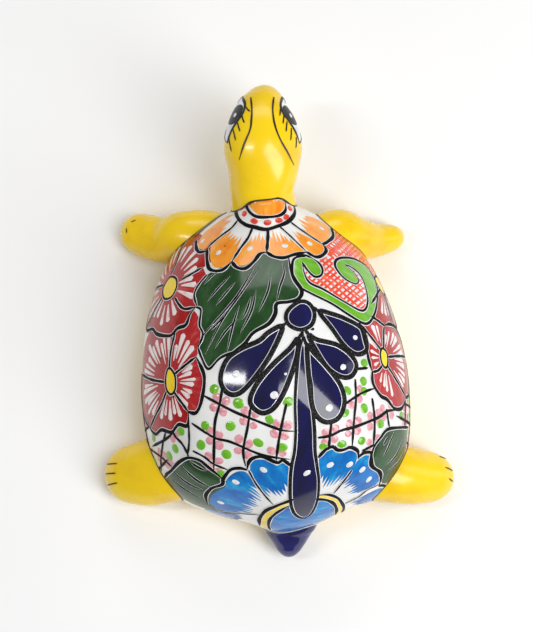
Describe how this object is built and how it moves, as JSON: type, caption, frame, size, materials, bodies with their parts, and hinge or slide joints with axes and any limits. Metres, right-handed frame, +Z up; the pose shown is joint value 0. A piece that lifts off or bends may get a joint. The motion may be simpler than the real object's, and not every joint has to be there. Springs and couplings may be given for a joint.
{
  "type": "ceramic turtle figure",
  "caption": "Hollow glazed earthenware turtle with a domed, hand-painted shell, a flat underside with one round hole, a raised head, two front flippers, two rear legs and a short tail.",
  "frame": {"origin": "on the surface the figure rests on, under the middle of its length and width", "axes": "+Y towards the head, +X towards the turtle's right side, +Z up"},
  "size_m": [0.2204, 0.2904, 0.098],
  "materials": {
    "painted_shell": "glossy white glaze under hand-painted flowers, leaves and lattice",
    "yellow_glaze": "glossy yellow glaze with soft brush variation",
    "cobalt_glaze": "glossy dark cobalt glaze"
  },
  "bodies": {
    "root": {"carapace": "painted_shell", "plastron": "yellow_glaze", "head_and_neck": "yellow_glaze", "front_flipper_left": "yellow_glaze", "front_flipper_right": "yellow_glaze", "rear_leg_left": "yellow_glaze", "rear_leg_right": "yellow_glaze", "tail": "cobalt_glaze"}
  },
  "joints": []
}
